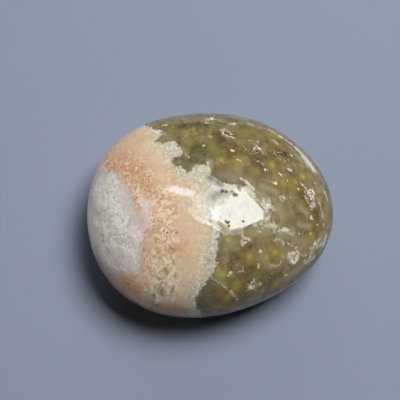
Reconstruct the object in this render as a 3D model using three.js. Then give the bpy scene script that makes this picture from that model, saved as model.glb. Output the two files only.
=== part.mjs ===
// Ocean jasper palm stone: one polished pebble, egg-shaped from above and domed, with a small flat
// ground underneath that it rests on. Millimetres, +Z up, +X along the stone towards its narrow end.
// The origin is on the flat foot, under the middle of the stone's length and width.

import * as THREE from "three";
import { mergeVertices } from "three/addons/utils/BufferGeometryUtils.js";

// The outline from above is a circle with a few low lobes. Each lobe is a share of the radius that
// swells the outline `count` times round, with one swelling at the angle `towards`, from +X.
const OUTLINE_RADIUS = 28.2;
const OUTLINE_LOBES = [
  { count: 2, size: 0.086, towards: 0 }, // longer than it is wide
  { count: 3, size: 0.024, towards: -8 }, // blunt at one end and narrow at the other
  { count: 4, size: 0.0065, towards: -40 }, // straighter flanks beside the narrow end
  { count: 5, size: 0.006, towards: -12 },
];

// The upright section: how far it rises and falls from the widest level, and how full each half is.
// A fullness of 2 is an ellipse, and more is squarer.
const CROWN = { height: 14.5, fullness: 2.15 };
const UNDERSIDE = { height: 12, fullness: 2.3 };
const FOOT_GRIND = 0.4; // depth ground off underneath, which leaves the flat foot
const WIDEST_LEVEL = UNDERSIDE.height - FOOT_GRIND; // above the surface that the stone rests on

// Open vugs that the polish has cut through: shallow hollows in the crown, placed from above.
const VUGS = [
  { x: 5.3, y: 14.1, radius: 1.4, depth: 0.3 },
  { x: 14.5, y: -17.4, radius: 1.5, depth: 0.3 },
  { x: -14.2, y: -8.2, radius: 1.6, depth: 0.3 },
  { x: 0.4, y: -0.9, radius: 1.1, depth: 0.3 },
  { x: 2.7, y: -1.8, radius: 1.0, depth: 0.3 },
  { x: -0.6, y: -8.4, radius: 0.9, depth: 0.2 },
  { x: 3.3, y: -21.6, radius: 1.2, depth: 0.3 },
  { x: 22.4, y: -3.2, radius: 1.2, depth: 0.3 },
  { x: 2.9, y: 20.4, radius: 1.0, depth: 0.25 },
  { x: 11.2, y: 8.9, radius: 1.1, depth: 0.25 },
];

// The grid that the surface is laid on: a cube's squares blown up to a ball. Drawing the ball's grid
// towards its poles keeps the squares of the flattened pebble even, and drawing it in round each vug
// gives the hollow enough corners to be round.
const SQUARES_ALONG_CUBE = 28;
const DRAW_TO_POLES = 1.4;
const DRAW_TO_VUG = { reach: 3.2, strength: 1.6 };

const STONE_COLOUR = 0xa8906a;

function outlineRadius(angle) {
  const swelling = OUTLINE_LOBES.reduce(
    (sum, lobe) =>
      sum + lobe.size * Math.cos(lobe.count * (angle - THREE.MathUtils.degToRad(lobe.towards))),
    0,
  );
  return OUTLINE_RADIUS * (1 + swelling);
}

// A direction on the unit ball, from a point on the cube of half-side 1. The tangent evens out the
// squares' angles.
function ballDirection(cubePoint) {
  const even = (t) => Math.tan((t * Math.PI) / 4);
  return new THREE.Vector3(even(cubePoint.x), even(cubePoint.y), even(cubePoint.z) * DRAW_TO_POLES)
    .normalize();
}

// The point of the round pebble in a direction of the ball, measured from its widest level.
function pebblePoint(direction) {
  const half = direction.z > 0 ? CROWN : UNDERSIDE;
  const across = Math.hypot(direction.x, direction.y);
  const up = Math.abs(direction.z);
  const reach = (across ** half.fullness + up ** half.fullness) ** (-1 / half.fullness);
  const angle = Math.atan2(direction.y, direction.x);
  const radius = outlineRadius(angle) * across * reach;
  const height = half.height * direction.z * reach;
  return new THREE.Vector3(radius * Math.cos(angle), radius * Math.sin(angle), height);
}

// How high the crown stands over its widest level, at a place seen from above.
function crownHeight(x, y) {
  const share = Math.hypot(x, y) / outlineRadius(Math.atan2(y, x));
  return CROWN.height * Math.max(0, 1 - share ** CROWN.fullness) ** (1 / CROWN.fullness);
}

// Slides a point of the crown along it, towards each vug that is within reach.
function drawToVugs(point, middle) {
  for (const vug of VUGS) {
    const [x, y] = [vug.x + middle.x, vug.y + middle.y];
    const share = Math.hypot(point.x - x, point.y - y) / DRAW_TO_VUG.reach;
    if (share < 1 && point.z > 0) {
      const pull = share ** (DRAW_TO_VUG.strength - 1);
      point.x = x + (point.x - x) * pull;
      point.y = y + (point.y - y) * pull;
      point.z = crownHeight(point.x, point.y);
    }
  }
  return point;
}

// How deep the vugs are at a place on the crown: each is a smooth bowl.
function vugDepth(x, y) {
  return VUGS.reduce((depth, vug) => {
    const share = Math.hypot(x - vug.x, y - vug.y) / vug.radius;
    return share < 1 ? Math.max(depth, vug.depth * (1 - share * share)) : depth;
  }, 0);
}

function makeStone() {
  const n = SQUARES_ALONG_CUBE;
  const cube = new THREE.BoxGeometry(2, 2, 2, n, n, n);
  cube.deleteAttribute("normal");
  cube.deleteAttribute("uv");
  const geometry = mergeVertices(cube);
  const places = geometry.getAttribute("position");
  const corner = new THREE.Vector3();
  for (let i = 0; i < places.count; i++) {
    const point = pebblePoint(ballDirection(corner.fromBufferAttribute(places, i)));
    places.setXYZ(i, point.x, point.y, point.z);
  }
  geometry.computeBoundingBox();
  const middle = geometry.boundingBox.getCenter(new THREE.Vector3());

  // The middle of the length and width goes over the origin, and the ground foot on it.
  for (let i = 0; i < places.count; i++) {
    const point = drawToVugs(corner.fromBufferAttribute(places, i), middle);
    const [x, y] = [point.x - middle.x, point.y - middle.y];
    const cut = point.z > 0 ? vugDepth(x, y) : 0;
    places.setXYZ(i, x, y, Math.max(point.z + WIDEST_LEVEL - cut, 0));
  }
  geometry.computeVertexNormals();

  const finish = new THREE.MeshStandardMaterial({
    color: STONE_COLOUR,
    roughness: 0.15,
    metalness: 0,
  });
  const stone = new THREE.Mesh(geometry, finish);
  stone.name = "stone";
  return stone;
}

const palmStone = new THREE.Group();
palmStone.add(makeStone());

export default palmStone;
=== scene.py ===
import math

import bmesh
import bpy
import numpy as np
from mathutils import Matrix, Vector
from mathutils.bvhtree import BVHTree


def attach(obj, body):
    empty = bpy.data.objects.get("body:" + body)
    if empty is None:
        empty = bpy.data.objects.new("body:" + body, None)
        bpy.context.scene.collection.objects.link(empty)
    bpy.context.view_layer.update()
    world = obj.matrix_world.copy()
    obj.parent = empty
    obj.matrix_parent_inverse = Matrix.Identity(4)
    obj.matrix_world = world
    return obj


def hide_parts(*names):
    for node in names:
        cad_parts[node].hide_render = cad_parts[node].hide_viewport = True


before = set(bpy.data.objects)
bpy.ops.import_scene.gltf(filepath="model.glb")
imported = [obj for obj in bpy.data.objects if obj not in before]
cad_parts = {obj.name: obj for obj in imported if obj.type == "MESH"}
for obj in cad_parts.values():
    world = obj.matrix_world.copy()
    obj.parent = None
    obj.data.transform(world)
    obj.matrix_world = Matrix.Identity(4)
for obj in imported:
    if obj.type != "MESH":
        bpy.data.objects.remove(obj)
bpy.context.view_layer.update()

# ----------------------------------------------------------
# The pebble. One lump of ocean jasper, sawn, tumbled and polished to an egg-shaped palm stone
# with a small flat ground underneath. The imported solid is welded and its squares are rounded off.
MM = 0.001
WELD_GAP = 0.01 * MM
SQUARE_CORNER = math.radians(60)  # two triangles with no sharper corner than this are one square
CROWN_BOTTOM = 12.0  # above the foot, in millimetres

rough_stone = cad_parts["stone"].data
welding = bmesh.new()
welding.from_mesh(rough_stone)
bmesh.ops.remove_doubles(welding, verts=welding.verts, dist=WELD_GAP)
bmesh.ops.join_triangles(
    welding,
    faces=welding.faces,
    angle_face_threshold=SQUARE_CORNER,
    angle_shape_threshold=SQUARE_CORNER,
)
pebble = bpy.data.meshes.new("palm_stone")
welding.to_mesh(pebble)
welding.free()
pebble.materials.clear()
palm_stone = bpy.data.objects.new("palm_stone", pebble)
bpy.context.scene.collection.objects.link(palm_stone)

# The solid has its ten main vugs as plain bowls. They are levelled here, each to the smooth curve of
# the crown round it, and finer and more ragged vugs are cut below.
PLAIN_VUGS = [
    (5.3, 14.1), (14.5, -17.4), (-14.2, -8.2), (0.4, -0.9), (2.7, -1.8),
    (-0.6, -8.4), (3.3, -21.6), (22.4, -3.2), (2.9, 20.4), (11.2, 8.9),
]
BOWL_REACH = 2.0  # round its middle, in millimetres, a bowl is no wider than this
RIM_REACH = 5.0  # the crown's curve is taken from the ring between the two
CURVE_POWERS = 5  # how many powers of the distance the curve has, from 0 up

corners = np.empty(len(pebble.vertices) * 3)
pebble.vertices.foreach_get("co", corners)
corners = corners.reshape(-1, 3) / MM
crown_side = corners[:, 2] > CROWN_BOTTOM
gaps = [np.hypot(corners[:, 0] - x, corners[:, 1] - y) for x, y in PLAIN_VUGS]
in_bowl = crown_side & (np.min(gaps, axis=0) < BOWL_REACH)


def curve_terms(places, middle):
    """The terms of a smooth curved patch round a middle."""
    x, y = (places[:, :2] - middle).T
    terms = [x**i * y**j for i in range(CURVE_POWERS) for j in range(CURVE_POWERS - i)]
    return np.stack(terms, axis=1)


for bowl_middle, gap in zip(PLAIN_VUGS, gaps):
    rim = crown_side & ~in_bowl & (gap < RIM_REACH)
    bowl = in_bowl & (gap < BOWL_REACH)
    patch = np.linalg.lstsq(curve_terms(corners[rim], bowl_middle), corners[rim, 2], rcond=None)[0]
    corners[bowl, 2] = curve_terms(corners[bowl], bowl_middle) @ patch
pebble.vertices.foreach_set("co", (corners * MM).ravel())
pebble.update()

# ----------------------------------------------------------
# The vugs. Small open hollows that the polish has cut through, ragged at the lip and lined with
# grainy quartz. Each is pressed into the crown round its own middle, placed from above.
VUGS = [  # (x, y), radius and depth, in millimetres
    ((5.1, 14.9), 0.50, 0.40), ((5.9, 14.0), 0.34, 0.25), ((6.5, 13.9), 0.30, 0.25),
    ((14.7, -17.3), 0.24, 0.26), ((14.2, -15.9), 0.24, 0.16),
    ((-15.1, -7.4), 0.30, 0.26), ((-14.5, -7.9), 0.26, 0.26), ((-12.7, -7.7), 0.20, 0.18),
    ((0.0, -0.8), 0.42, 0.32), ((0.8, -1.15), 0.36, 0.35), ((2.2, -1.3), 0.30, 0.30),
    ((2.6, -2.0), 0.36, 0.35), ((-0.95, -8.1), 0.24, 0.20),
    ((-0.5, -8.4), 0.26, 0.20), ((-0.5, -9.2), 0.26, 0.20), ((-3.0, -5.6), 0.18, 0.14),
    ((0.2, -6.8), 0.20, 0.14), ((3.2, -8.9), 0.20, 0.14), ((-4.5, -7.5), 0.24, 0.18),
    ((2.6, -13.0), 0.28, 0.28), ((11.0, 8.6), 0.38, 0.28), ((2.4, -21.5), 0.30, 0.30),
    ((22.6, -2.9), 0.26, 0.25), ((2.4, 19.6), 0.38, 0.25), ((14.0, -4.4), 0.22, 0.18),
    ((-19.9, -10.2), 0.22, 0.12), ((-12.6, -11.6), 0.22, 0.12),
]
SUBDIVISIONS = 2  # the squares are quartered twice, fine enough for a ragged lip
RAGGED_LIP = 0.45  # how far the lip strays, in millimetres
LIP_GRAIN = 0.6  # the size of its teeth, in millimetres
LIP_SHARE = 1.25  # a vug starts to sink at this share of its radius
FULL_SHARE = 0.45  # and is at its full depth from this share inwards
HIGH_UP = 100  # well above the stone, in millimetres


def on_crown(x, y):
    """The point of the polished crown straight under a place seen from above, in millimetres."""
    hit = crown.ray_cast(Vector((x, y, HIGH_UP)) * MM, Vector((0, 0, -1)))[0]
    if hit is None:
        hit = crown.find_nearest(Vector((x, y, CROWN_BOTTOM)) * MM)[0]
    return np.array(hit) / MM


shape = bmesh.new()
shape.from_mesh(pebble)
crown = BVHTree.FromBMesh(shape)
shape.free()

vug_middles = bpy.data.meshes.new("vug_middles")
vug_middles.from_pydata([Vector(on_crown(*place)) * MM for place, _, _ in VUGS], [], [])
for name, column in (("radius", 1), ("depth", 2)):
    measure = vug_middles.attributes.new(name, "FLOAT", "POINT")
    measure.data.foreach_set("value", [vug[column] * MM for vug in VUGS])
vug_markers = bpy.data.objects.new("vug_markers", vug_middles)
bpy.context.scene.collection.objects.link(vug_markers)

carving = bpy.data.node_groups.new("vug carving", "GeometryNodeTree")
for name, kind in (
    ("Stone", "Geometry"),
    ("Vug middles", "Object"),
    ("Fineness", "Int"),
    ("Ragged lip", "Float"),
    ("Finish", "Material"),
):
    carving.interface.new_socket(name, in_out="INPUT", socket_type="NodeSocket" + kind)
carving.interface.new_socket("Stone", in_out="OUTPUT", socket_type="NodeSocketGeometry")


def node_in(tree, kind, inputs, **settings):
    """A node of a tree, with its settings, and its inputs linked or set by name or number."""
    node = tree.nodes.new(kind)
    for name, value in settings.items():
        setattr(node, name, value)
    for name, value in inputs.items():
        if isinstance(value, bpy.types.NodeSocket):
            tree.links.new(value, node.inputs[name])
        else:
            node.inputs[name].default_value = value
    return node


def carve(kind, inputs, output, **settings):
    """What comes out of a new node of the carving."""
    return node_in(carving, "GeometryNode" + kind, inputs, **settings).outputs[output]


def work_out(operation, *values):
    """A sum on numbers, in the carving."""
    inputs = dict(enumerate(values))
    return node_in(carving, "ShaderNodeMath", inputs, operation=operation).outputs["Value"]


def move(operation, inputs, output="Vector"):
    """A sum on places, in the carving."""
    return node_in(carving, "ShaderNodeVectorMath", inputs, operation=operation).outputs[output]


given = node_in(carving, "NodeGroupInput", {}).outputs
rounded = carve("SubdivisionSurface", {"Mesh": given["Stone"], "Level": given["Fineness"]}, "Mesh")
here = carve("InputPosition", {}, "Position")
ragged = node_in(
    carving, "ShaderNodeTexNoise", {"Vector": here, "Scale": 1 / (LIP_GRAIN * MM), "Detail": 2.0}
).outputs["Color"]
centred = move("SUBTRACT", {0: ragged, 1: (0.5, 0.5, 0.5)})
straying = move("SCALE", {0: centred, "Scale": given["Ragged lip"]})
strayed = move("ADD", {0: here, 1: straying})
vugs = carve(
    "ObjectInfo", {"Object": given["Vug middles"]}, "Geometry", transform_space="RELATIVE"
)


def of_vug(number, value, kind="FLOAT"):
    """A value of one of the vugs."""
    inputs = {0: vugs, "Value": value, "Index": number}
    return carve("SampleIndex", inputs, "Value", data_type=kind)


radii, depths = (
    carve("InputNamedAttribute", {"Name": name}, "Attribute", data_type="FLOAT")
    for name in ("radius", "depth")
)
depth = 0
lip = 0
for number in range(len(VUGS)):
    gap_to_middle = move("DISTANCE", {0: strayed, 1: of_vug(number, here, "FLOAT_VECTOR")}, "Value")
    hollow = node_in(
        carving,
        "ShaderNodeMapRange",
        {
            "Value": work_out("DIVIDE", gap_to_middle, of_vug(number, radii)),
            "From Min": LIP_SHARE,
            "From Max": FULL_SHARE,
        },
        interpolation_type="SMOOTHSTEP",
    ).outputs["Result"]
    pressed = work_out("MULTIPLY", hollow, of_vug(number, depths))
    depth = work_out("MAXIMUM", depth, pressed)
    lip = work_out("MAXIMUM", lip, hollow)
outward = carve("InputNormal", {}, "Normal")
press = move("SCALE", {0: outward, "Scale": work_out("MULTIPLY", depth, -1.0)})
marked = carve(
    "StoreNamedAttribute",
    {"Geometry": rounded, "Name": "vug", "Value": lip},
    "Geometry",
    data_type="FLOAT",
    domain="POINT",
)
carved = carve("SetPosition", {"Geometry": marked, "Offset": press}, "Geometry")
smooth = carve("SetShadeSmooth", {"Geometry": carved}, "Geometry")
whole = carve("RealizeInstances", {"Geometry": smooth}, "Geometry")
finished = carve("SetMaterial", {"Geometry": whole, "Material": given["Finish"]}, "Geometry")
node_in(carving, "NodeGroupOutput", {"Stone": finished})

jasper = bpy.data.materials.new("jasper")
jasper.use_nodes = True
carver = palm_stone.modifiers.new("vug carving", "NODES")
carver.node_group = carving
chosen = {
    "Vug middles": vug_markers,
    "Fineness": SUBDIVISIONS,
    "Ragged lip": RAGGED_LIP * MM,
    "Finish": jasper,
}
for socket in carving.interface.items_tree:
    if socket.in_out == "INPUT" and socket.name in chosen:
        carver[socket.identifier] = chosen[socket.name]
palm_stone.update_tag()
bpy.context.view_layer.update()
seen = palm_stone.evaluated_get(bpy.context.evaluated_depsgraph_get())
carved_stone = bpy.data.meshes.new_from_object(seen)
palm_stone.modifiers.remove(carver)
palm_stone.data = carved_stone
bpy.data.objects.remove(vug_markers)

# ----------------------------------------------------------
# The bands. Three growths fill the lump side by side: grey-white quartz at the blunt end, peach
# jasper in the middle with a cream fringe of fine needles, and olive moss jasper at the narrow end.
# Each seam is a line across the crown that leans as it goes down through the stone.
MOSS_SEAM = [
    (-13.0, 26.0), (-12.2, 22.0), (-11.2, 20.0), (-9.6, 18.4), (-9.5, 17.2), (-10.8, 16.6),
    (-11.7, 15.7), (-10.4, 14.8), (-9.2, 14.8), (-8.4, 14.8), (-7.4, 14.3), (-7.6, 12.8),
    (-6.8, 11.5), (-6.5, 10.4), (-7.3, 9.7), (-8.0, 9.8), (-9.4, 10.1), (-9.8, 9.1),
    (-9.3, 7.6), (-8.0, 6.9), (-7.4, 6.1), (-6.9, 5.0), (-6.3, 5.6), (-5.8, 6.5), (-3.8, 6.7),
    (-2.6, 6.5), (-1.6, 6.9), (-1.3, 5.2), (-1.6, 3.6), (-0.9, 2.2), (0.2, 1.1), (1.8, 0.7),
    (3.2, 0.2), (3.6, -1.2), (2.4, -2.6), (-0.8, -3.8), (-2.2, -5.4), (-2.5, -7.6), (-2.5, -9.7),
    (-3.6, -11.8), (-3.9, -13.4), (-4.4, -15.0), (-4.6, -16.6), (-5.5, -18.2), (-7.0, -19.5),
    (-8.2, -20.6), (-9.5, -21.8), (-10.6, -23.0), (-9.9, -24.4), (-9.0, -25.4), (-9.0, -28.0),
]
QUARTZ_SEAM = [
    (-28.5, 14.5), (-25.6, 12.6), (-23.8, 11.2), (-22.4, 9.9), (-21.5, 8.3), (-21.2, 6.3),
    (-20.6, 4.2), (-20.1, 2.2), (-20.3, 0.2), (-19.3, -1.8), (-18.8, -4.2), (-19.3, -6.6),
    (-19.9, -8.8), (-20.2, -11.0), (-20.9, -13.0), (-21.8, -14.8), (-23.8, -14.7),
    (-26.0, -13.6), (-29.0, -11.5),
]
MOSS_LEAN = np.array([0.56, 0.20])  # how far a seam moves for each millimetre down, along x and y
QUARTZ_LEAN = np.array([-0.30, 0.24])
WIDEST_LEVEL = 11.6  # above the foot: the seams lean from here down
FAR = 60.0  # well outside the stone
NO_LENGTH = 1e-9  # a line from a place to itself counts as this long

points = np.empty(len(carved_stone.vertices) * 3, np.float32)
carved_stone.vertices.foreach_get("co", points)
points = points.reshape(-1, 3) / MM
below_widest = np.clip(WIDEST_LEVEL - points[:, 2], 0, None)


def to_line(places, start, end):
    """How far places are from a straight line, and how far along it they lie, from 0 to 1."""
    step = end - start
    along = np.clip((places - start) @ step / max(step @ step, NO_LENGTH), 0, 1)
    return np.linalg.norm(places - start - along[:, None] * step, axis=1), along


def to_seam(seam, closing, lean):
    """Distance to a seam, more than 0 on the closing side of it, and how far along it that is."""
    plan = points[:, :2] - below_widest[:, None] * lean
    nearest = np.full(len(plan), np.inf)
    along = np.zeros(len(plan))
    travelled = 0.0
    for start, end in zip(np.array(seam), np.array(seam[1:])):
        gap, share = to_line(plan, start, end)
        length = np.linalg.norm(end - start)
        closer = gap < nearest
        nearest[closer] = gap[closer]
        along[closer] = (travelled + share * length)[closer]
        travelled += length
    ring = np.array(seam + closing)
    inside = np.zeros(len(plan), bool)
    for (x0, y0), (x1, y1) in zip(ring, np.roll(ring, -1, axis=0)):
        crosses = (y0 > plan[:, 1]) != (y1 > plan[:, 1])
        if y0 != y1:
            crossing = x0 + (plan[:, 1] - y0) * (x1 - x0) / (y1 - y0)
            inside ^= crosses & (plan[:, 0] < crossing)
    return np.where(inside, nearest, -nearest), along


def store(name, values):
    """Keeps a value for each point of the stone, which its finish reads by name."""
    kept = carved_stone.attributes.new(name, "FLOAT", "POINT")
    kept.data.foreach_set("value", values.astype(np.float32))


quartz_side = [(-FAR, QUARTZ_SEAM[-1][1]), (-FAR, QUARTZ_SEAM[0][1])]
into_moss, along_moss = to_seam(MOSS_SEAM, [(FAR, -FAR), (FAR, FAR)], MOSS_LEAN)
into_quartz, _ = to_seam(QUARTZ_SEAM, quartz_side, QUARTZ_LEAN)
store("into moss", into_moss)
store("along moss", along_moss)
store("into quartz", into_quartz)

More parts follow.
